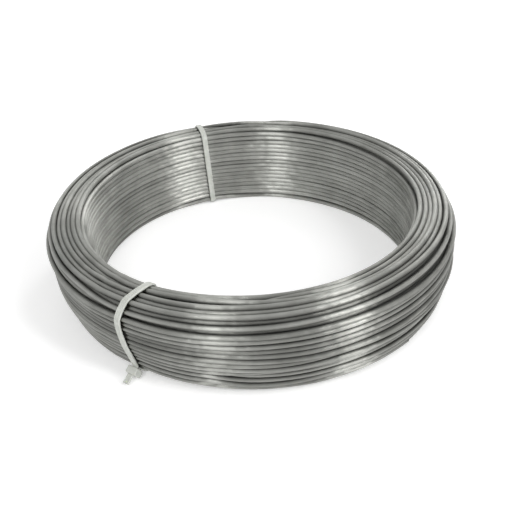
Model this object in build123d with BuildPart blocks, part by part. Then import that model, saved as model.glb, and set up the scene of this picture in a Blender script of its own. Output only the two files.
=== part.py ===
from build123d import *
from math import cos, radians
import os

# Coil, in millimetres: it lies flat, its axis is Z and the floor is at z = 0
bore_diameter = 187
winding_build = 26.5
coil_height = 54
wire_diameter = 2.8
# Slack between turns that lie side by side
turn_gap = 0.5
# The turns are roof-shaped in section: this is how far the hollow between two of them goes in
groove_depth = 1.0
# On the bore and the outer wall one ridge stands for a band of turns, with a deeper hollow between bands
band_turns = 3
band_groove_depth = 1.4
# The lowest turns bear on the floor with flats, cut this far into their crests
rest_flat_depth = 0.35

# Ties, in millimetres: two narrow moulded cable ties with square heads
strap_width = 3.6
strap_thickness = 1.2
head_length = 5.8
head_width = 6.2
head_height = 4.0
head_edge_radius = 0.6
# The strap turns out into the slot of the head with this bend, measured on its smooth face
slot_bend_radius = 0.7
# Wall of the head on the smooth side of the slot, and room on the toothed side, where the pawl is
slot_wall = 0.6
tooth_room = 0.9
slot_clearance = 0.2
pawl_height = 2.0
# The tail is snipped this far above the floor
tail_gap = 0.9

# Fit of the ties on the coil: each strap lies close over the crests, and in a notch across the foot
seat_clearance = 0.15
strap_floor_gap = 0.25
strap_turn_radius = 0.9
cut_overrun = 8.0

# Directions of the two ties round the axis, in degrees from +X
front_tie_angle = 236.5
back_tie_angle = 108

# Corners of the wound section: outward share of the winding build, upward share of the height
section_shares = {
    "rim": (0.11, 0.955),
    "crown_inner": (0.264, 1.0),
    "crown_outer": (0.604, 1.0),
    "shoulder": (0.834, 0.959),
    "belly_top": (1.0, 0.77),
    "belly_low": (1.0, 0.53),
    "knee": (0.751, 0.106),
    "foot_outer": (0.525, 0.0),
    "foot_inner": (0.0, 0.0),
}
# Roundings of those corners, as shares of the winding build
rounding_shares = [0.1, 0.3, 0.35, 0.22, 0.2, 0.2, 0.15, 0.08, 0.065]

bore_radius = bore_diameter / 2
turn_pitch = wire_diameter + turn_gap
band_pitch = band_turns * turn_pitch
roundings = [share * winding_build for share in rounding_shares]
corner_names = list(section_shares)
tie_angles = {"front_tie": front_tie_angle, "back_tie": back_tie_angle}

os.makedirs("parts", exist_ok=True)


def section_corners():
    """Corners of the wound section, from the rim outwards and down, with its foot just under the floor."""
    corners = []
    for outward_share, upward_share in section_shares.values():
        height = upward_share * coil_height if upward_share else -rest_flat_depth
        corners.append(Vector(bore_radius + outward_share * winding_build, height))
    return corners


def widened(corners, distance, closed=True):
    """The same outline moved out by a distance, with each side parallel to what it was."""
    moved = []
    for index, corner in enumerate(corners):
        arriving = (corner - corners[index - 1]).normalized()
        leaving = (corners[(index + 1) % len(corners)] - corner).normalized()
        if not closed and index == 0:
            arriving = leaving
        if not closed and corner is corners[-1]:
            leaving = arriving
        half_turn = radians(arriving.get_angle(leaving)) / 2
        between = (arriving + leaving).normalized()
        moved.append(corner + Vector(-between.Y, between.X) * (distance / cos(half_turn)))
    return moved


def raised(corner, above, height):
    """The point at a height on the side that runs from a corner up to the corner above it."""
    return corner + (above - corner) * ((height - corner.Y) / (above.Y - corner.Y))


def ridge_points(crest_line, usual_pitch, hollow_depth):
    """A crest for each turn, or band of turns, along a line, and the hollows between them."""
    ridges = round(crest_line.length / usual_pitch)
    pitch = crest_line.length / ridges
    points = []
    for ridge in range(ridges):
        if ridge:
            hollow = crest_line.position_at(ridge * pitch, PositionMode.LENGTH)
            forward = crest_line.tangent_at(ridge * pitch, PositionMode.LENGTH)
            points.append(hollow + Vector(forward.Y, -forward.X) * hollow_depth)
        points.append(crest_line.position_at((ridge + 0.5) * pitch, PositionMode.LENGTH))
    return points


def upright_plane(angle):
    """Upright plane through the axis of the coil, with x outwards and y up."""
    outward = Vector(1, 0, 0).rotate(Axis.Z, angle)
    return Plane(origin=(0, 0, 0), x_dir=outward, z_dir=outward.cross(Vector(0, 0, 1)))


# Lines over the crests: over the top end from the bore to below the shoulder, down the outer wall, over
# the bottom end from just above the knee to the bore, and up the bore
crest_corners = section_corners()
shoulder_index = corner_names.index("shoulder")
knee_index = corner_names.index("knee")
rim, shoulder, belly_top, belly_low, knee, foot, heel = (
    crest_corners[corner_names.index(name)]
    for name in ("rim", "shoulder", "belly_top", "belly_low", "knee", "foot_outer", "foot_inner")
)
bore_wall = (heel - rim).normalized()
outer_wall = (belly_low - knee).normalized()
below_rim = rim + bore_wall * (roundings[0] + turn_pitch / 2)
below_shoulder = (shoulder + belly_top) / 2
above_knee = knee + outer_wall * roundings[knee_index]
above_heel = heel - bore_wall * (roundings[-1] + turn_pitch / 2)
top_line = FilletPolyline(
    below_rim,
    *crest_corners[: shoulder_index + 1],
    below_shoulder,
    radius=roundings[: shoulder_index + 1],
)
outer_line = FilletPolyline(
    below_shoulder,
    *crest_corners[shoulder_index + 1 : knee_index],
    above_knee,
    radius=roundings[shoulder_index + 1 : knee_index],
)
foot_line = FilletPolyline(above_knee, *crest_corners[knee_index:], above_heel, radius=roundings[knee_index:])
bore_line = Line(above_heel, below_rim)
section_points = [
    *ridge_points(top_line, turn_pitch, groove_depth),
    *ridge_points(outer_line, band_pitch, band_groove_depth),
    *ridge_points(foot_line, turn_pitch, groove_depth),
    *ridge_points(bore_line, band_pitch, band_groove_depth),
]

# Each strap follows the crests and squeezes the foot of the coil up, so that it clears the floor
foot_lift = strap_thickness + seat_clearance + strap_floor_gap
strap_corners = widened(
    [*crest_corners[:-2], raised(foot, knee, foot_lift), raised(heel, rim, foot_lift)],
    seat_clearance,
)
notch_height = foot_lift + strap_turn_radius

# The coil: one turned solid with its bore, flats under its lowest turns, and a notch for each strap
with BuildPart() as wire_coil:
    with BuildSketch(Plane.XZ) as wound_section:
        with BuildLine() as section_line:
            Polyline(*section_points, close=True)
        make_face()
        with Locations((bore_radius, 0)):
            Rectangle(winding_build, coil_height, align=(Align.MIN, Align.MIN), mode=Mode.INTERSECT)
    revolve(axis=Axis.Z)
    for tie_angle in tie_angles.values():
        with BuildSketch(upright_plane(tie_angle)) as notch:
            with Locations((bore_radius, -cut_overrun)):
                Rectangle(winding_build, notch_height + cut_overrun, align=(Align.MIN, Align.MIN))
        extrude(amount=strap_width / 2 + seat_clearance, both=True, mode=Mode.SUBTRACT)
wire_coil.part.label = "wire_coil"
export_step(wire_coil.part, "parts/wire_coil.step")

# Where a head sits: across the knee, on the slope midway between the sides that meet there
*strap_wrap, strap_knee, strap_foot, strap_heel = strap_corners
slope = ((strap_knee - strap_wrap[-1]).normalized() + (strap_foot - strap_knee).normalized()).normalized()
slope_out = Vector(-slope.Y, slope.X)
head_centre = strap_knee
head_top = strap_thickness + head_height
toothed_face = slot_wall + slot_clearance + strap_thickness - head_length / 2
slot_entry = head_centre + slope * toothed_face
tail_tip = slot_entry + slope_out * ((slot_entry.Y - tail_gap) / -slope_out.Y)
root = slot_entry + slope * tooth_room
head_foot = head_centre + slope * (head_length / 2)

# Inner face of a strap: from its root under the head, in round the foot and the bore, over the
# crown, down the outside, and out through the slot
foot_corners = [head_foot, strap_foot, strap_heel]
inner_corners = [root, *foot_corners, *strap_wrap, slot_entry, tail_tip]
outer_corners = widened(inner_corners, strap_thickness, closed=False)
wrap_roundings = [*[strap_turn_radius] * len(foot_corners), *roundings[: len(strap_wrap)]]
inner_roundings = [*wrap_roundings, slot_bend_radius + strap_thickness]
outer_roundings = [*(radius + strap_thickness for radius in wrap_roundings), slot_bend_radius]

# The ties: each is one moulding of head, strap and tail
for tie_name, tie_angle in tie_angles.items():
    across = upright_plane(tie_angle)
    head_plane = Plane(
        origin=across.from_local_coords(head_centre),
        x_dir=across.from_local_coords(slope),
        z_dir=across.z_dir,
    )
    slot_face = toothed_face + tooth_room
    with BuildPart() as tie:
        with BuildSketch(head_plane) as head_outline:
            with Locations((0, strap_thickness)):
                Rectangle(head_length, head_height, align=(Align.CENTER, Align.MIN))
        extrude(amount=head_width / 2, both=True)
        head_end = tie.faces().sort_by(Axis(head_plane.origin, head_plane.y_dir))[-1]
        fillet(head_end.edges(), radius=head_edge_radius)
        with BuildSketch(head_plane) as slot:
            with Locations((slot_face, 0)):
                Rectangle(
                    strap_thickness + slot_clearance + tooth_room,
                    head_top + cut_overrun,
                    align=(Align.MAX, Align.MIN),
                )
        extrude(amount=strap_width / 2 + slot_clearance, both=True, mode=Mode.SUBTRACT)
        with BuildSketch(head_plane) as pawl:
            with BuildLine() as pawl_line:
                Polyline(
                    (slot_face, head_top - pawl_height),
                    (slot_face, head_top - head_edge_radius),
                    (toothed_face + slot_clearance, head_top - head_edge_radius),
                    close=True,
                )
            make_face()
        extrude(amount=strap_width / 2, both=True)
        with BuildSketch(across) as band:
            with BuildLine() as band_line:
                inner_face = FilletPolyline(*inner_corners, radius=inner_roundings)
                outer_face = FilletPolyline(*outer_corners, radius=outer_roundings)
                Line(inner_face @ 0, outer_face @ 0)
                Line(inner_face @ 1, outer_face @ 1)
            make_face()
        extrude(amount=strap_width / 2, both=True)
    tie.part.label = tie_name
    export_step(tie.part, f"parts/{tie_name}.step")
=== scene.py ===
from collections import namedtuple
from math import cos, pi, radians, sin

import bpy
import numpy as np
from mathutils import Matrix, Vector


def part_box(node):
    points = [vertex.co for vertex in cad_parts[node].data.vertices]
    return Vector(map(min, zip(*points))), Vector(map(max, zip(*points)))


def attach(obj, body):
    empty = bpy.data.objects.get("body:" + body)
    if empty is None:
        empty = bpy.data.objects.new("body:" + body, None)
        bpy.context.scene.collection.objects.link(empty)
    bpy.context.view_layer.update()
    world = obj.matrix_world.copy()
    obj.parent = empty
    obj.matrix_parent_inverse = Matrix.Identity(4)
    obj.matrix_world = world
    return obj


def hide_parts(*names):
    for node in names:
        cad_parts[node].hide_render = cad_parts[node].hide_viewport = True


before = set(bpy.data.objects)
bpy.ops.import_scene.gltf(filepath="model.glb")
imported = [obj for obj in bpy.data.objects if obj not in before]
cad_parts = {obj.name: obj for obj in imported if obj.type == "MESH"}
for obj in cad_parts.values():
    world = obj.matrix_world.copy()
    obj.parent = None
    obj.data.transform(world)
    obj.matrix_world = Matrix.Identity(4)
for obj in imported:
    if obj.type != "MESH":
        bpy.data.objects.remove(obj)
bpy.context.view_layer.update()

# Coil, in metres
coil_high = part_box("wire_coil")[1]
outer_radius = coil_high[0]
coil_height = coil_high[2]
winding_build = 0.0265
bore_radius = outer_radius - winding_build
wire_diameter = 0.0028
wire_radius = wire_diameter / 2

# Corners of the wound section, from the rim of the bore outwards and down to its heel: outward share of
# the winding build, upward share of the height, and how firmly the side that starts there holds the turns
section_shares = [
    (0.11, 0.955, 0.5),
    (0.264, 1.0, 0.5),
    (0.604, 1.0, 0.5),
    (0.834, 0.959, 0.5),
    (1.02, 0.77, 0.5),
    (1.02, 0.53, 0.5),
    (0.751, 0.106, 0.8),
    (0.525, 0.0, 1.0),
    (0.0, 0.0, 1.0),
]
# Sides of the section where the turns lie loosely: all but the floor and the bore wall
loose_sides = 7

# Winding: spacing of turns along a layer and from layer to layer
turn_pitch = 0.00290
layer_pitch = 0.00254
# Layers, and turns in a layer, that are laid out beyond the size of the section, which then cuts them off
spare_seats = 2
# Depth of a seat under the skin of the section, as a share of the wire's radius: the least that there may be,
# and the most for a turn that counts as outermost
seat_depth_share = 0.8
outermost_share = 1.6
# Points on each turn with their angles from the start of the wire, sides of the wire, and the meshes that
# share out its turns
turn_points = 144
turn_angles = 2 * pi * np.arange(turn_points) / turn_points
wire_sides = 12
mesh_names = ["bore_turns", "core_turns", "outer_turns"]
# The wire starts inside the bore just before the front tie. Its last step slants down over the back, and its
# outer end lies low in front on the right, at this share of the way down the lower wall
start_angle = radians(228)
end_angle = radians(318)
end_side = 5
end_share = 0.93
# Each turn steps over to its next seat where that is least seen: in front for inner turns, behind for outer
# ones
front_step_angle = radians(275)
back_step_angle = radians(95)
step_spread = radians(70)
inner_layers = 4
# An outer turn whose next seat is further off than this many pitches leaps over the turns in between, and
# presses in those that are at least this loose
leap_share = 1.8
crossed_looseness = 0.1
# Wander of the turns, inside and where they lie loose, and how deep the looseness reaches
inner_wander = 0.00003
bore_wander = 0.00028
loose_wander = 0.00085
loose_depth = 0.0024
wander_spread = 9
drift_spread = 22
wander_share = 0.5
drift_share = 0.85
# Share of the outermost turns that is missing on each side of the section, from the rim round to the foot
missing_shares = [0.0, 0.0, 0.0, 0.12, 0.3, 0.3, 0.15]
# Extra berth that loose turns keep from each other here and there, as a share of the wire's radius on each
# side; the noise that gives it is raised by the first number and cut off at the second
berth_shares = [0.08, 0.08, 0.15, 0.4, 0.45, 0.45, 0.3]
berth_spread = 9
berth_rise = 0.3
most_berth = 2.2
# Settling: share of an overlap that each round takes out, and the pull to the middle of the section
settling_rounds = 150
push_share = 0.35
settling_pull = 0.0000015
# Turns that lie this near to the crown or the belly move out to it as they settle
crown_sides = slice(0, 3)
crown_reach = 0.0022
crown_lift = 0.000012
belly_sides = slice(3, 5)
belly_reach = 0.0016
belly_push = 0.00001
# How many points along the wire share a push, as stiff wire does, how many times that the bell curve of the
# push reaches, and how many pitches apart turns can still meet
stiffness = 2
bell_reach = 3
neighbour_share = 3.4
# Keeps a division by a length whole where the length is nought
tiny_length = 1e-9

# Painted shade in the hollows: how far down the flank of a turn it is full, its strength on each side of the
# section from the rim round to the bore wall, where less than nought is painted light, and how that changes
# along the wire
painted_shade_depth = 0.0011
painted_shade_shares = [0.5, 0.5, 0.6, 0.66, 0.62, 0.62, 0.62, 0.3, -0.4]
least_painted_shade = -0.5
painted_shade_change = 0.25
bore_painted_shade_change = 0.25
painted_shade_spread = 30
# Depths under the skin of the coil between which whole turns are painted dark as shade, and how dark they get
dark_from = 0.0011
dark_to = 0.0028
dark_share = 0.6
# Turns on the bore wall are painted brighter, as painted light where the bore gets little of it
bore_painted_light = 0.42
# Points to each side over which the tone of one turn blends into the next
tone_blend = 6
# Bare margin beside the strip of each turn in the map for baking, as a share of the strip
strip_margin = 0.04

# Lean of the tied coil: crown against foot along X, and the crown's tilt along X
lean_share = -0.0742
lean_height_share = 0.25
tilt_x_share = 0.0223

# Ties: where each lies round the coil, and by how many degrees its strap strays from there, from its tail and
# head up the outside, over the crown, down the bore and back under the foot
tie_angles = {"front_tie": radians(236.5), "back_tie": radians(108)}
tie_strays = {
    "front_tie": [
        (0.0, -0.6), (0.07, -0.5), (0.13, 0.2), (0.18, 0.1), (0.24, -0.9), (0.3, -0.5),
        (0.36, 0.5), (0.42, 2.0), (0.48, 3.2), (0.56, 2.3), (0.9, 0.5), (1.0, -0.5),
    ],
    "back_tie": [(0.0, 0.5), (0.3, -0.5), (0.6, 0.0), (1.0, 0.4)],
}
strap_width = 0.0036
strap_thickness = 0.0012
strap_edge = 0.0003
strap_clearance = 0.00015
strap_lift = 0.0016
strap_step = 0.00025
# A strap is drawn tight round the turns within this angle of its tie, with so many points round each of them
strap_reach = radians(4.5)
rim_points = 32
# Steps along the strap, to each side, over which its bends and strays are evened out, and over which the way
# that it faces is taken
strap_softness = 5
stray_softness = 30
facing_steps = 4
# Teeth across the inner face of a strap: foot and crest as shares of its width
tooth_pitch = 0.001
tooth_depth = 0.00022
tooth_foot_share = 0.7
tooth_crest_share = 0.66
tail_length = 0.0105
# Head of a tie, measured along the strap, across it and outwards from its outer face
head_length = 0.0060
head_width = 0.0066
head_height = 0.0042
head_edge = 0.0006
foot_edge = 0.5 * head_edge
rim_edge = 0.3 * head_edge
corner_points = 5
head_base = strap_thickness / 2
head_top = head_base + head_height
head_lean = radians(-31)
slot_wall = 0.0007
tooth_room = 0.0009
slot_clearance = 0.00015
slot_high = head_length / 2 - slot_wall
slot_low = slot_high - strap_thickness - 2 * slot_clearance - tooth_room
pawl_width = 0.9 * strap_width
pawl_start_share = 0.4
# The ties pinch the coil: how far they draw the section in, how much of the turns' wander they take out, and
# how far to each side that reaches
pinch_share = 0.03
pinch_hold = 0.8
pinch_spread = radians(10)

# Finishes: colours that each surface varies between, and the size of its patterns in waves per metre, for the
# wire along, outwards and upwards
wire_dark = (0.21, 0.213, 0.197, 1)
wire_bright = (0.41, 0.414, 0.39, 1)
painted_shade_colour = (0.035, 0.035, 0.031, 1)
wire_roughness = (0.4, 0.5)
drawn_lines = (30, 2500, 2500)
zinc_bloom = (70, 350, 350)
winding_wave = (100, 90, 90)
dull_patches = 55.0
nylon_dull = (0.49, 0.503, 0.465, 1)
nylon_pale = (0.6, 0.613, 0.575, 1)
nylon_roughness = (0.38, 0.5)
nylon_cloud = 260.0
nylon_grain = 3200.0
even_stretch = (1, 1, 1)
# Shares of bloom, lines and patches in the tone of the wire
bloom_share = 0.45
line_share = 0.3
patch_share = 0.35
# Ranges that the patterns, and the tone of the wire made from them, mostly stay within
pattern_range = (0.3, 0.7)
patch_range = (0.32, 0.68)
tone_range = (0.15, 0.85)
full_range = (0, 1)

# Floor, with extra white where it is seen, so that it meets the white background
floor_size = 8
floor_colour = (0.92, 0.92, 0.92, 1)
floor_glow = 0.32
white = (1, 1, 1, 1)

# Softboxes: direction to the right of the front, elevation and radiance of each, and their distance and size
softboxes = {
    "right_softbox": (radians(53), radians(33), 8.8),
    "left_softbox": (radians(-22), radians(33), 6.0),
    "side_softbox": (radians(157), radians(33), 3.6),
    "back_softbox": (radians(192), radians(33), 0.7),
}
softbox_distance = 2.0
softbox_size = (0.42, 1.8)
softbox_aim_height = 0.03
ambient = 0.5

# Camera, with angles in radians, and lens and sensor in millimetres
camera_elevation = 0.5524
camera_distance = 0.49096
camera_target_height = 0.0264
camera_roll = -0.0261
camera_lens = 57.01
camera_sensor = 36
camera_shift = (0.0058, -0.0381)

rng = np.random.default_rng(3)

Section = namedtuple("Section", "corners outward offsets firmness")


def wound_section():
    """Corners of the wound section, and the outward direction, offset and firmness of each of its sides"""
    shares = np.array(section_shares)
    corners = shares[:, :2] * (winding_build, coil_height) + (bore_radius, 0)
    edges = np.roll(corners, -1, axis=0) - corners
    outward = np.stack([-edges[:, 1], edges[:, 0]], 1)
    outward /= np.linalg.norm(outward, axis=1)[:, None]
    return Section(corners, outward, (outward * corners).sum(1), shares[:, 2])


def laid_seats(section):
    """A seat in the section for each turn, in layers laid on the bore wall and wound up and down by turns,
    with the number of its layer"""
    rim, heel = section.corners[0], section.corners[-1]
    up_wall = (rim - heel) / np.linalg.norm(rim - heel)
    off_wall = np.array([up_wall[1], -up_wall[0]])
    layers = []
    for layer in range(round(winding_build / layer_pitch) + spare_seats):
        steps = np.arange(round(coil_height / turn_pitch) + spare_seats) + 0.5 * (layer % 2)
        row = heel + off_wall * (wire_radius + layer * layer_pitch) + steps[:, None] * up_wall * turn_pitch
        inside = (row @ section.outward.T - section.offsets <= -seat_depth_share * wire_radius).all(1)
        if inside.any():
            layers.append(row[inside])
    seats = np.concatenate([row[::-1] if number % 2 else row for number, row in enumerate(layers)])
    return seats, np.repeat(np.arange(len(layers)), [len(row) for row in layers])


def wound_seats(section):
    """The seats that the wire takes, with their layers: some outermost ones are left out, and the last is
    that of its outer end"""
    seats, layer = laid_seats(section)
    depth = section.offsets[:loose_sides] - seats @ section.outward[:loose_sides].T
    outermost = depth.min(1) < outermost_share * wire_radius
    missing = outermost & (rng.random(len(seats)) < np.array(missing_shares)[depth.argmin(1)])
    above, below = section.corners[end_side : end_side + 2]
    end_seat = above + end_share * (below - above) - wire_radius * section.outward[end_side]
    return np.concatenate([seats[~missing], [end_seat]]), np.append(layer[~missing], layer.max())


def smooth_noise(shape, spread):
    """Noise of unit deviation that changes slowly along the wire"""
    flat = rng.standard_normal(int(np.prod(shape)))
    waves = np.fft.rfft(flat) * np.exp(-2 * (pi * spread * np.fft.rfftfreq(flat.size)) ** 2)
    soft = np.fft.irfft(waves, flat.size)
    return (soft / soft.std()).reshape(shape)


def running_mean(values, reach):
    """Each value evened out with those before and after it"""
    width = 2 * reach + 1
    return np.convolve(np.pad(values, reach, mode="edge"), np.ones(width) / width, mode="valid")


def softened(moves):
    """The same moves, shared with the points just before and after along the wire"""
    reach = np.arange(-bell_reach * stiffness, bell_reach * stiffness + 1)
    weights = np.exp(-0.5 * (reach / stiffness) ** 2)
    weights /= weights.sum()
    ends = np.pad(moves.reshape(-1, 2), ((len(reach) // 2, len(reach) // 2), (0, 0)), mode="edge")
    shared = [np.convolve(column, weights, mode="valid") for column in ends.T]
    return np.stack(shared, 1).reshape(moves.shape)


def nearest_turn(angles):
    """Angles brought to between half a turn back and half a turn on"""
    return np.angle(np.exp(1j * angles))


def tie_pinch():
    """How near each point of a turn is to a tie, from 0 to 1"""
    near = np.zeros(turn_points)
    for tie_angle in tie_angles.values():
        off = nearest_turn(start_angle + turn_angles - tie_angle)
        near = np.maximum(near, np.exp(-((off / pinch_spread) ** 2)))
    return near


def last_turn_points():
    """Points on the last turn, which stops at the end of the wire"""
    return round((end_angle - start_angle) % (2 * pi) / (2 * pi) * turn_points)


def stepped_turns(seats, layer):
    """Each turn on its seat, stepping over to the next one, and how high it leaps there, from 0 to 1"""
    following = np.concatenate([seats[1:], seats[-1:]])
    step_angles = np.where(layer < inner_layers, front_step_angle, back_step_angle)
    step_starts = (step_angles - start_angle) % (2 * pi) - step_spread / 2
    ramp = np.clip((turn_angles - step_starts[:, None]) / step_spread, 0, 1)
    places = seats[:, None] + (following - seats)[:, None] * (ramp**2 * (3 - 2 * ramp))[..., None]
    stride = np.linalg.norm(following - seats, axis=1)
    leaping = (stride > leap_share * turn_pitch) & (layer >= inner_layers)
    leap = np.sin(pi * ramp) * leaping[:, None]
    places[..., 0] += wire_diameter * leap
    return places, leap


def looseness(depth):
    """How freely a turn lies at a depth under the skin of the section, from 0 to 1"""
    return np.exp(-np.clip(depth, 0, None) / loose_depth)


def turn_wander(slack, pinch):
    """How far each point of each turn strays from its seat"""
    shape = (len(slack), turn_points)
    strays = [
        wander_share * smooth_noise(shape, wander_spread) + drift_share * smooth_noise(shape, drift_spread)
        for _ in range(2)
    ]
    return np.stack(strays, 2) * (slack[:, None] * (1 - pinch_hold * pinch))[:, :, None]


def turn_berths(loose, side):
    """Room that each point of each turn keeps round its centre, which is none past the end of the wire"""
    swell = np.clip(smooth_noise((len(loose), turn_points), berth_spread) + berth_rise, 0, most_berth)
    berth = wire_radius * (1 + (np.array(berth_shares)[side] * loose)[:, None] * swell)
    berth[-1, last_turn_points() :] = -wire_radius
    return berth


def turn_neighbours(seats):
    """The turns seated near each turn, in rows filled up with the turn itself"""
    distance = np.linalg.norm(seats[:, None] - seats[None], axis=2)
    near = [np.flatnonzero((row < neighbour_share * turn_pitch) & (row > 0)) for row in distance]
    most = max(len(row) for row in near)
    filled = [np.pad(row, (0, most - len(row)), constant_values=turn) for turn, row in enumerate(near)]
    return np.stack(filled)


def parting_moves(places, neighbours, berth):
    """Moves that take neighbouring turns out of each other's room"""
    apart = places[:, None] - places[neighbours]
    span = np.sqrt((apart**2).sum(3)) + tiny_length
    others = (neighbours != np.arange(len(neighbours))[:, None])[:, :, None]
    push = np.clip(berth[:, None] + berth[neighbours] - span, 0, None) * others
    return push_share * ((push / span)[..., None] * apart).sum(1)


def leaping_moves(places, leap, crossed):
    """Moves that bring each leaping turn out over the turns that it crosses, and press those in"""
    moves = np.zeros_like(places)
    for turn in np.flatnonzero(leap.any(1)):
        others = crossed[crossed != turn]
        apart = places[turn] - places[others]
        overlap = np.clip(wire_diameter - np.linalg.norm(apart, axis=2), 0, None)
        apart = apart + (wire_radius * leap[turn])[:, None] * (1.0, 0.0)
        push = push_share * (overlap / (np.linalg.norm(apart, axis=2) + tiny_length))[..., None] * apart
        moves[turn] += push.sum(0)
        moves[others] -= push
    return moves


def holding_moves(places, section, middle, pinch, leap):
    """Moves that keep turns inside the section, which the ties draw in and a leaping turn stands out of"""
    moves = np.zeros_like(places)
    for direction, offset, firm in zip(section.outward, section.offsets, section.firmness):
        drawn_in = pinch_share * pinch * (offset - direction @ middle)
        limit = offset - wire_radius - drawn_in + wire_diameter * leap
        over = np.clip(places @ direction - limit, 0, None)
        moves -= firm * over[..., None] * direction
    return moves


def wind_turns():
    """Radius and height of the wire's centre all along each turn, and how near each turn is to the bore"""
    section = wound_section()
    seats, layer = wound_seats(section)
    depth = section.offsets - seats @ section.outward.T - wire_radius
    loose = looseness(depth[:, :loose_sides].min(1))
    in_bore = looseness(depth[:, -1])
    pinch = tie_pinch()
    places, leap = stepped_turns(seats, layer)
    places = places + turn_wander(inner_wander + bore_wander * in_bore + loose_wander * loose, pinch)
    berth = turn_berths(loose, depth[:, :loose_sides].argmin(1))

    # The turns settle against each other, and those near the crown and the belly move out to it
    rising = crown_lift * (depth[:, crown_sides].min(1) < crown_reach)
    spreading = belly_push * (depth[:, belly_sides].min(1) < belly_reach)
    neighbours = turn_neighbours(seats)
    crossed = np.flatnonzero(loose[:-1] > crossed_looseness)
    middle = seats.mean(0)
    lowest = wire_radius + strap_lift * pinch
    for _ in range(settling_rounds):
        moves = parting_moves(places, neighbours, berth) + leaping_moves(places, leap, crossed)
        moves += holding_moves(places, section, middle, pinch, leap)
        moves -= settling_pull * (places - middle) / np.linalg.norm(places - middle, axis=2, keepdims=True)
        moves += np.stack([spreading, rising], 1)[:, None]
        places = places + softened(moves)
        places[..., 1] = np.maximum(places[..., 1], lowest)
    places[..., 1] -= (places[..., 1] - lowest).min()
    return places, in_bore


def leaned(points):
    """Points of an upright coil moved as the tied coil leans"""
    x, y, z = points[..., 0], points[..., 1], points[..., 2]
    shifted = x + lean_share * (z - lean_height_share * outer_radius)
    raised = z + tilt_x_share * x * z / coil_height
    return np.stack([shifted, y, raised], -1)


def wire_line(places):
    """The wire's centre line in space, from its inner end to its outer end"""
    turns = len(places)
    count = (turns - 1) * turn_points + last_turn_points()
    angles = start_angle + 2 * pi * np.arange(count) / turn_points
    radius, height = places.reshape(-1, 2)[:count].T
    return leaned(np.stack([radius * np.cos(angles), radius * np.sin(angles), height], 1))


def wire_frames(line):
    """Two directions across the wire at each point: outwards and upwards"""
    tangent = np.gradient(line, axis=0)
    tangent /= np.linalg.norm(tangent, axis=1)[:, None]
    across = np.cross(tangent, (0.0, 0.0, 1.0))
    across /= np.linalg.norm(across, axis=1)[:, None]
    return across, np.cross(across, tangent)


def wire_ring():
    """Outward and upward offsets of the points round the wire"""
    around = 2 * pi * np.arange(wire_sides) / wire_sides
    return wire_radius * np.cos(around), wire_radius * np.sin(around)


def painted_hollow_shade(places):
    """Painted shade at each point round the wire: little on the crests of outermost turns, most inside the
    coil, and painted light on the flanks of the bore wall's turns
    """
    section = wound_section()
    centres = places.reshape(-1, 2)
    depth = section.offsets - centres @ section.outward.T
    nearness = np.exp(-depth / wire_radius)
    side_painted_shade = nearness @ np.array(painted_shade_shares) / nearness.sum(1)
    crest_depth = np.clip(depth.min(1) - wire_radius, 0, None)
    points = centres[:, None] + np.stack(wire_ring(), 1)
    down_flank = (section.offsets - points @ section.outward.T).min(2) - crest_depth[:, None]
    change = painted_shade_change + bore_painted_shade_change * nearness[:, -1] / nearness.sum(1)
    strength = np.clip(side_painted_shade + change * smooth_noise((len(centres),), painted_shade_spread), least_painted_shade, 1)
    flank = np.clip(down_flank / painted_shade_depth, 0, 1) * strength[:, None]
    # Whole turns that lie deep are painted dark as shade
    dark = dark_share * np.clip((crest_depth - dark_from) / (dark_to - dark_from), 0, 1)
    return 1 - (1 - flank) * (1 - dark[:, None])


def tube_faces(rings, sides):
    """Faces between rings of points that follow each other. They face out where the first ring is clockwise
    as seen from the second"""
    ring = np.arange(sides)
    ahead = (ring + 1) % sides
    step = (np.arange(rings - 1) * sides)[:, None]
    return np.stack([step + ring, step + ring + sides, step + ahead + sides, step + ahead], 2).reshape(-1, 4)


def wire_mesh(name, line, across, upward):
    """A stretch of the wire as a tube with closed ends"""
    ring_out, ring_up = wire_ring()
    points = (
        line[:, None]
        + across[:, None] * ring_out[None, :, None]
        + upward[:, None] * ring_up[None, :, None]
    )
    faces = tube_faces(len(line), wire_sides)
    ring = np.arange(wire_sides)
    caps = [ring.tolist(), (ring[::-1] + (len(line) - 1) * wire_sides).tolist()]
    mesh = bpy.data.meshes.new(name)
    mesh.from_pydata(points.reshape(-1, 3), [], faces.tolist() + caps)
    smooth = np.append(np.ones(len(faces), bool), np.zeros(len(caps), bool))
    mesh.polygons.foreach_set("use_smooth", smooth)
    return mesh


def mark_wire(mesh, run, tones, painted_shades):
    """Values for the finish: place along and round the wire, tone of each turn with painted light on the bore
    wall, and painted shade of the hollows
    """
    ring_out, ring_up = wire_ring()
    places = [np.repeat(run, wire_sides), np.tile(ring_out, len(run)), np.tile(ring_up, len(run))]
    for name, kind, key, values in (
        ("wire_run", "FLOAT_VECTOR", "vector", np.stack(places, 1)),
        ("turn_tone_and_bore_light", "FLOAT", "value", np.repeat(tones, wire_sides)),
        ("painted_shade", "FLOAT", "value", painted_shades),
    ):
        attribute = mesh.attributes.new(name, kind, "POINT")
        attribute.data.foreach_set(key, values.astype(np.float32).ravel())


def map_wire(mesh, count):
    """Map for baking, with one strip for each turn"""
    strips = int(np.ceil((count - 1) / turn_points))
    segment = np.repeat(np.arange(count - 1), wire_sides)
    side = np.tile(np.arange(wire_sides), count - 1)
    strip, within = np.divmod(segment, turn_points)
    left, right = within / turn_points, (within + 1) / turn_points
    usable = 1 - 2 * strip_margin
    low = (strip + strip_margin + usable * side / wire_sides) / strips
    high = (strip + strip_margin + usable * (side + 1) / wire_sides) / strips
    corners = np.stack([left, low, right, low, right, high, left, high], 1)
    caps = np.full((2 * wire_sides, 2), 0.5 / strips)
    uv_map = mesh.uv_layers.new(name="OFBake")
    uv_map.uv.foreach_set("vector", np.append(corners.ravel(), caps.ravel()).astype(np.float32))


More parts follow.
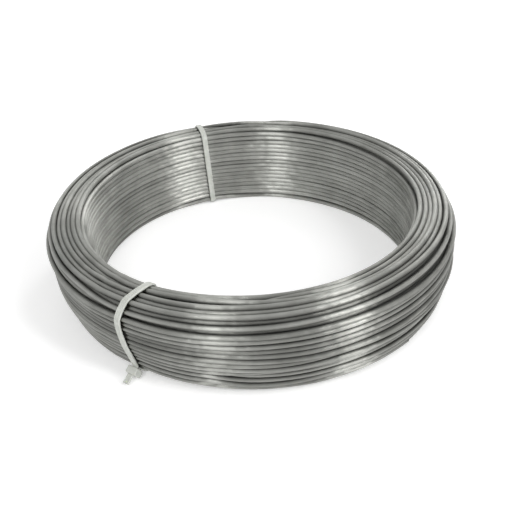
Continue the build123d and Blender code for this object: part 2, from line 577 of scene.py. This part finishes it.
def add_piece(name, mesh, node, material):
    """A piece of the coil that stands for a node of the frame"""
    mesh.validate()
    mesh.update()
    piece = bpy.data.objects.new(name, mesh)
    bpy.context.scene.collection.objects.link(piece)
    mesh.materials.append(material)
    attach(piece, "root")
    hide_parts(node)


def add_wire(places, in_bore, material):
    """The whole wire, with a third of its turns in each mesh"""
    line = wire_line(places)
    across, upward = wire_frames(line)
    run = np.concatenate([[0.0], np.cumsum(np.linalg.norm(np.diff(line, axis=0), axis=1))])
    # Random tone of each turn, with painted light added on the turns of the bore wall
    turn_tone_and_bore_light = rng.uniform(0, 1, len(places)) + bore_painted_light * in_bore
    tones = running_mean(np.repeat(turn_tone_and_bore_light, turn_points)[: len(line)], tone_blend)
    # Painted shade between and under the turns, with painted light on the flanks of the bore wall's turns
    painted_shades = painted_hollow_shade(places)
    whole_turns = len(line) // turn_points
    thirds = [round(whole_turns * part / len(mesh_names)) for part in range(len(mesh_names))]
    cuts = [turn_points * turns for turns in thirds] + [len(line) - 1]
    for name, first, last in zip(mesh_names, cuts, cuts[1:]):
        part = slice(first, last + 1)
        mesh = wire_mesh(name, line[part], across[part], upward[part])
        mark_wire(mesh, run[part], tones[part], painted_shades[part])
        map_wire(mesh, last + 1 - first)
        add_piece(name, mesh, "wire_coil", material)
    print("wire", round(float(run[-1]), 2), "m in", len(places), "turns")


def tight_loop(points):
    """Corners of the tight loop round points in a plane, anticlockwise"""
    ordered = sorted(map(tuple, points))
    chains = []
    for run in (ordered, ordered[::-1]):
        chain = []
        for x, y in run:
            while len(chain) > 1:
                (ax, ay), (bx, by) = chain[-2:]
                if (bx - ax) * (y - ay) - (by - ay) * (x - ax) > 0:
                    break
                chain.pop()
            chain.append((x, y))
        chains += chain[:-1]
    return np.array(chains)


def evenly_spaced(points, step):
    """Points at even steps along a line"""
    lengths = np.concatenate([[0.0], np.cumsum(np.linalg.norm(np.diff(points, axis=0), axis=1))])
    wanted = np.linspace(0, lengths[-1], max(2, round(lengths[-1] / step)) + 1)
    return np.stack([np.interp(wanted, lengths, column) for column in points.T], 1)


def strap_path(places, tie_angle):
    """Middle of a strap in the upright plane of its tie, from the tip of its tail round the coil to its root,
    with the seat of its head and the directions out from it and up along it"""
    beside = np.abs(nearest_turn(start_angle + turn_angles - tie_angle)) < strap_reach
    around = 2 * pi * np.arange(rim_points) / rim_points
    reach = wire_radius + strap_clearance + strap_thickness / 2
    rim = reach * np.stack([np.cos(around), np.sin(around)], 1)
    loop = tight_loop((places[:, beside].reshape(-1, 1, 2) + rim).reshape(-1, 2))
    loop = evenly_spaced(np.concatenate([loop, loop[:1]]), strap_step)[:-1]
    ahead = np.roll(loop, -facing_steps, axis=0) - np.roll(loop, facing_steps, axis=0)
    facing = np.arctan2(-ahead[:, 0], ahead[:, 1])
    seat = np.argmin(np.abs(nearest_turn(facing - head_lean)))
    loop = np.roll(loop, -seat, axis=0)
    out = np.array([cos(head_lean), sin(head_lean)])
    up = np.array([-out[1], out[0]])
    entry = loop[0] + up * (slot_high - slot_clearance - strap_thickness / 2)
    clear = np.argmax((loop - entry) @ up > strap_thickness)
    path = np.concatenate([[entry + out * tail_length, entry], loop[clear:], loop[:1]])
    path = evenly_spaced(path, strap_step)
    inner = slice(strap_softness, -strap_softness)
    path[inner] = np.stack([running_mean(column, strap_softness) for column in path.T], 1)[inner]
    return path, loop[0], out, up


def strap_shape(path, angle):
    """Points and faces of a strap: rounded edges, and teeth across its inner face"""
    line = np.stack([path[:, 0] * np.cos(angle), path[:, 0] * np.sin(angle), path[:, 1]], 1)
    along = np.gradient(line, axis=0)
    along /= np.linalg.norm(along, axis=1)[:, None]
    sideways = np.stack([-np.sin(angle), np.cos(angle), 0 * angle], 1)
    outward = np.cross(along, sideways)
    outward /= np.linalg.norm(outward, axis=1)[:, None]
    sideways = np.cross(outward, along)

    # Section of the strap: sideways, outwards, and 1 where the teeth are cut
    half, thick, edge = strap_width / 2, strap_thickness / 2, strap_edge
    foot, crest = tooth_foot_share * half, tooth_crest_share * half
    section = np.array([
        (edge - half, thick, 0), (half - edge, thick, 0), (half, thick - edge, 0), (half, edge - thick, 0),
        (half - edge, -thick, 0), (foot, -thick, 0), (crest, -thick, 1), (-crest, -thick, 1),
        (-foot, -thick, 0), (edge - half, -thick, 0), (-half, edge - thick, 0), (-half, thick - edge, 0),
    ])
    tooth = tooth_depth * ((np.arange(len(path)) * strap_step / tooth_pitch) % 1)
    points = (
        line[:, None]
        + sideways[:, None] * section[None, :, :1]
        + outward[:, None] * (section[None, :, 1:2] + tooth[:, None, None] * section[None, :, 2:])
    )

    sides = len(section)
    ring = np.arange(sides)
    faces = tube_faces(len(path), sides).tolist()
    faces += [ring.tolist(), (ring[::-1] + (len(path) - 1) * sides).tolist()]
    return points.reshape(-1, 3), faces


def rounded_box(low, high, wide, corner):
    """A rectangle with rounded corners, up from low to high and wide to both sides"""
    bend = np.linspace(0, pi / 2, corner_points)
    points = []
    for turn, (x, y) in enumerate([(high, wide), (low, wide), (low, -wide), (high, -wide)]):
        inner = np.array([x - corner if x == high else x + corner, y - corner if y > 0 else y + corner])
        arc = bend + turn * pi / 2
        points.append(inner + corner * np.stack([np.cos(arc), np.sin(arc)], 1))
    return np.concatenate(points)


def head_shape():
    """Points and faces of a tie's head, up, sideways and outwards from its seat: a block with rounded outer
    edges round its slot"""
    block = (-head_length / 2, head_length / 2, head_width / 2)
    slot = (slot_low, slot_high, strap_width / 2 + slot_clearance)
    levels = [
        (block, foot_edge, head_edge, head_base),
        (block, 0, head_edge, head_base + foot_edge),
        (block, 0, head_edge, head_top - head_edge),
        (block, rim_edge, head_edge, head_top - rim_edge),
        (block, head_edge, head_edge, head_top),
        (slot, -rim_edge, rim_edge, head_top),
        (slot, 0, rim_edge, head_top - foot_edge),
        (slot, 0, rim_edge, head_base),
    ]
    points = []
    for (low, high, wide), inset, corner, height in levels:
        loop = rounded_box(low + inset, high - inset, wide - inset, corner)
        points.append(np.column_stack([loop, np.full(len(loop), height)]))
    faces = tube_faces(len(levels) + 1, len(loop)) % (len(levels) * len(loop))
    return np.concatenate(points), faces.tolist()


def pawl_shape():
    """Points and faces of a pawl, a wedge on the low wall of the slot that bears on the teeth"""
    wedge = [
        (slot_low, head_base + pawl_start_share * head_height),
        (slot_low, head_top - head_edge),
        (slot_low + tooth_room, head_top - head_edge),
    ]
    points = [(high, side * pawl_width / 2, height) for side in (-1, 1) for high, height in wedge]
    faces = [[0, 1, 2], [5, 4, 3]]
    faces += [[a, a + 3, b + 3, b] for a, b in ((0, 1), (1, 2), (2, 0))]
    return np.array(points), faces


def in_space(flat, angle):
    """A point or direction of an upright plane through the coil's axis, in space"""
    return np.array([flat[0] * cos(angle), flat[0] * sin(angle), flat[1]])


def tie_mesh(name, places, tie_angle, strays):
    """A cable tie as one moulding: toothed strap, head with slot and pawl, and tail"""
    path, seat, out, up = strap_path(places, tie_angle)
    stray = np.interp(np.linspace(0, 1, len(path)), *np.array(strays).T)
    angle = tie_angle + np.radians(running_mean(stray, stray_softness))
    points, faces = strap_shape(path, angle)

    # The head and its pawl stand where the strap starts
    head_angle = angle[0]
    sideways = np.array([-sin(head_angle), cos(head_angle), 0])
    head_axes = np.stack([in_space(up, head_angle), sideways, in_space(out, head_angle)])
    for head_points, head_faces in (head_shape(), pawl_shape()):
        faces += [[len(points) + corner for corner in face] for face in head_faces]
        points = np.concatenate([points, in_space(seat, head_angle) + head_points @ head_axes])
    mesh = bpy.data.meshes.new(name)
    mesh.from_pydata(leaned(points), [], faces)
    return mesh


def add_ties(places, material):
    """Both cable ties"""
    for node, name in (("front_tie", "front_cable_tie"), ("back_tie", "back_cable_tie")):
        mesh = tie_mesh(name, places, tie_angles[node], tie_strays[node])
        add_piece(name, mesh, node, material)


def new_material(name):
    """A material with its nodes and links"""
    material = bpy.data.materials.new(name)
    material.use_nodes = True
    return material, material.node_tree.nodes, material.node_tree.links


def add_node(nodes, kind, settings=None, values=None):
    """A shader node with its settings, and constants on its sockets"""
    node = nodes.new("ShaderNode" + kind)
    for key, value in (settings or {}).items():
        setattr(node, key, value)
    for key, value in (values or {}).items():
        node.inputs[key].default_value = value
    return node


def pattern_group():
    """Uneven pattern that both finishes use, for bloom, patches, drawn lines and grain: noise stretched to
    measure"""
    group = bpy.data.node_groups.new("uneven_pattern", "ShaderNodeTree")
    for name, kind in (("Place", "Vector"), ("Stretch", "Vector"), ("Scale", "Float"), ("Detail", "Float")):
        group.interface.new_socket(name, in_out="INPUT", socket_type="NodeSocket" + kind)
    group.interface.new_socket("Pattern", in_out="OUTPUT", socket_type="NodeSocketFloat")
    nodes, links = group.nodes, group.links
    given = nodes.new("NodeGroupInput").outputs
    stretched = add_node(nodes, "VectorMath", {"operation": "MULTIPLY"})
    noise = add_node(nodes, "TexNoise", {}, {"Roughness": 0.6})
    links.new(given["Place"], stretched.inputs[0])
    links.new(given["Stretch"], stretched.inputs[1])
    links.new(stretched.outputs[0], noise.inputs["Vector"])
    links.new(given["Scale"], noise.inputs["Scale"])
    links.new(given["Detail"], noise.inputs["Detail"])
    links.new(noise.outputs["Fac"], nodes.new("NodeGroupOutput").inputs["Pattern"])
    return group


def pattern(nodes, links, place, stretch, scale, detail):
    """The uneven pattern placed in a material with its own measures"""
    measures = {"Stretch": stretch, "Scale": scale, "Detail": detail}
    node = add_node(nodes, "Group", {"node_tree": uneven_pattern}, measures)
    links.new(place, node.inputs["Place"])
    return node.outputs["Pattern"]


def mixed(nodes, links, first, second, share):
    """Two values mixed by a fixed share of the second"""
    mix = add_node(nodes, "Mix", {"data_type": "FLOAT"}, {"Factor": share})
    links.new(first, mix.inputs["A"])
    links.new(second, mix.inputs["B"])
    return mix.outputs["Result"]


def ranged(nodes, links, value, old, new):
    """A value from one range brought to another"""
    ends = {"From Min": old[0], "From Max": old[1], "To Min": new[0], "To Max": new[1]}
    span = add_node(nodes, "MapRange", {}, ends)
    links.new(value, span.inputs["Value"])
    return span.outputs["Result"]


def toned(nodes, links, shade, places, tones):
    """A colour between two tones, by a shade that goes from one place to another"""
    ramp = add_node(nodes, "ValToRGB")
    for element, place, tone in zip(ramp.color_ramp.elements, places, tones):
        element.position = place
        element.color = tone
    links.new(shade, ramp.inputs["Fac"])
    return ramp.outputs["Color"]


def nylon_material():
    """Natural nylon: milky, slightly uneven in colour and gloss, with a fine moulded grain"""
    material, nodes, links = new_material("tie_nylon_finish")
    shader = nodes["Principled BSDF"]
    place = add_node(nodes, "TexCoord").outputs["Object"]
    cloud = pattern(nodes, links, place, even_stretch, nylon_cloud, detail=3.0)
    grain = pattern(nodes, links, place, even_stretch, nylon_grain, detail=2.0)
    colour = toned(nodes, links, cloud, pattern_range, (nylon_dull, nylon_pale))
    links.new(colour, shader.inputs["Base Color"])
    links.new(ranged(nodes, links, cloud, pattern_range, nylon_roughness), shader.inputs["Roughness"])
    shader.inputs["Subsurface Weight"].default_value = 0.25
    shader.inputs["Subsurface Radius"].default_value = (1.0, 1.0, 0.85)
    shader.inputs["Subsurface Scale"].default_value = 0.0008
    bump = add_node(nodes, "Bump", {}, {"Strength": 0.3, "Distance": 0.00003})
    links.new(grain, bump.inputs["Height"])
    links.new(bump.outputs["Normal"], shader.inputs["Normal"])
    return material


def zinc_wire_material():
    """Drawn wire with a thin zinc coat: fine lines along it, dull bloom and patches, painted shade in the
    hollows that is painted light where it is below nought, and a slight wave from the winding"""
    material, nodes, links = new_material("zinc_wire_finish")
    shader = nodes["Principled BSDF"]
    along_wire = add_node(nodes, "Attribute", {"attribute_name": "wire_run"}).outputs["Vector"]
    # Tone of each turn, with painted light on the bore wall
    tone = add_node(nodes, "Attribute", {"attribute_name": "turn_tone_and_bore_light"}).outputs["Fac"]
    painted_shade = add_node(nodes, "Attribute", {"attribute_name": "painted_shade"}).outputs["Fac"]
    on_coil = add_node(nodes, "TexCoord").outputs["Object"]
    lines = pattern(nodes, links, along_wire, drawn_lines, scale=1.0, detail=3.0)
    bloom = pattern(nodes, links, along_wire, zinc_bloom, scale=1.0, detail=4.0)
    wave = pattern(nodes, links, along_wire, winding_wave, scale=1.0, detail=1.5)
    patches = pattern(nodes, links, on_coil, even_stretch, dull_patches, detail=3.0)

    shade = mixed(nodes, links, tone, ranged(nodes, links, bloom, pattern_range, full_range), bloom_share)
    shade = mixed(nodes, links, shade, ranged(nodes, links, lines, pattern_range, full_range), line_share)
    shade = mixed(nodes, links, shade, ranged(nodes, links, patches, patch_range, full_range), patch_share)
    zinc = toned(nodes, links, shade, tone_range, (wire_dark, wire_bright))
    # Painted shade darkens the zinc in the hollows, and lightens it as painted light where the shade is below
    # nought
    painted_shade_mix = add_node(nodes, "Mix", {"data_type": "RGBA", "clamp_factor": False}, {"B": painted_shade_colour})
    links.new(painted_shade, painted_shade_mix.inputs["Factor"])
    links.new(zinc, painted_shade_mix.inputs["A"])
    links.new(painted_shade_mix.outputs["Result"], shader.inputs["Base Color"])
    links.new(ranged(nodes, links, bloom, pattern_range, wire_roughness), shader.inputs["Roughness"])
    shader.inputs["Metallic"].default_value = 1.0

    # The drawn lines spread a highlight round the wire and keep it short along the wire
    along = add_node(nodes, "Tangent", {"direction_type": "UV_MAP", "uv_map": "OFBake"})
    links.new(along.outputs["Tangent"], shader.inputs["Tangent"])
    shader.inputs["Anisotropic"].default_value = 0.97
    shader.inputs["Anisotropic Rotation"].default_value = 0.25

    # The wave and the lines are pressed and cut into the wire, so their patterns count inwards
    swell = add_node(nodes, "Bump", {"invert": True}, {"Strength": 1.0, "Distance": 0.0005})
    links.new(wave, swell.inputs["Height"])
    grain = add_node(nodes, "Bump", {"invert": True}, {"Strength": 0.35, "Distance": 0.00002})
    links.new(lines, grain.inputs["Height"])
    links.new(swell.outputs["Normal"], grain.inputs["Normal"])
    links.new(grain.outputs["Normal"], shader.inputs["Normal"])
    return material


def seen_directly(nodes, links):
    """1 for rays from the camera and for what metal and glass show, 0 for rays that carry light"""
    path = add_node(nodes, "LightPath")
    reflected = add_node(nodes, "Math", {"operation": "MAXIMUM"})
    links.new(path.outputs["Is Camera Ray"], reflected.inputs[0])
    links.new(path.outputs["Is Glossy Ray"], reflected.inputs[1])
    seen = add_node(nodes, "Math", {"operation": "MAXIMUM"})
    links.new(reflected.outputs[0], seen.inputs[0])
    links.new(path.outputs["Is Transmission Ray"], seen.inputs[1])
    return seen.outputs[0]


def add_floor():
    """Plain pale floor"""
    bpy.ops.mesh.primitive_plane_add(size=floor_size)
    floor = bpy.context.object
    floor.name = "floor"
    material, nodes, links = new_material("floor_finish")
    shader = nodes["Principled BSDF"]
    shader.inputs["Base Color"].default_value = floor_colour
    shader.inputs["Roughness"].default_value = 0.9
    shader.inputs["Specular IOR Level"].default_value = 0.0
    shader.inputs["Emission Color"].default_value = white
    glow = ranged(nodes, links, seen_directly(nodes, links), full_range, (0, floor_glow))
    links.new(glow, shader.inputs["Emission Strength"])
    floor.data.materials.append(material)


def add_softbox(name, azimuth, elevation, radiance):
    """A tall narrow softbox at its place round the coil"""
    light = bpy.data.lights.new(name, "AREA")
    light.shape = "RECTANGLE"
    light.size, light.size_y = softbox_size
    light.energy = radiance * pi * light.size * light.size_y
    lamp = bpy.data.objects.new(name, light)
    level = cos(elevation)
    lamp.location = softbox_distance * Vector((sin(azimuth) * level, -cos(azimuth) * level, sin(elevation)))
    aim = Vector((0, 0, softbox_aim_height)) - lamp.location
    lamp.rotation_euler = aim.to_track_quat("-Z", "Y").to_euler()
    bpy.context.scene.collection.objects.link(lamp)


def add_world():
    """Even light from all round, and a white background"""
    world = bpy.data.worlds.new("studio")
    bpy.context.scene.world = world
    world.use_nodes = True
    nodes, links = world.node_tree.nodes, world.node_tree.links
    background = nodes["Background"]
    background.inputs["Color"].default_value = white
    strength = ranged(nodes, links, seen_directly(nodes, links), full_range, (ambient, 1))
    links.new(strength, background.inputs["Strength"])


def add_camera():
    """Camera in front of the coil, looking down at it"""
    camera = bpy.data.objects.new("camera", bpy.data.cameras.new("camera"))
    bpy.context.scene.collection.objects.link(camera)
    target = Vector((0, 0, camera_target_height))
    back = Vector((0, -cos(camera_elevation), sin(camera_elevation)))
    place = Matrix.Translation(target + camera_distance * back)
    turn = (-back).to_track_quat("-Z", "Y").to_matrix().to_4x4()
    camera.matrix_world = place @ turn @ Matrix.Rotation(camera_roll, 4, "Z")
    camera.data.lens = camera_lens
    camera.data.sensor_width = camera_sensor
    camera.data.shift_x, camera.data.shift_y = camera_shift
    bpy.context.scene.camera = camera


places, in_bore = wind_turns()
uneven_pattern = pattern_group()
add_wire(places, in_bore, zinc_wire_material())
add_ties(places, nylon_material())
add_floor()
for name, (azimuth, elevation, radiance) in softboxes.items():
    add_softbox(name, azimuth, elevation, radiance)
add_world()
add_camera()
bpy.context.scene.view_settings.view_transform = "Standard"
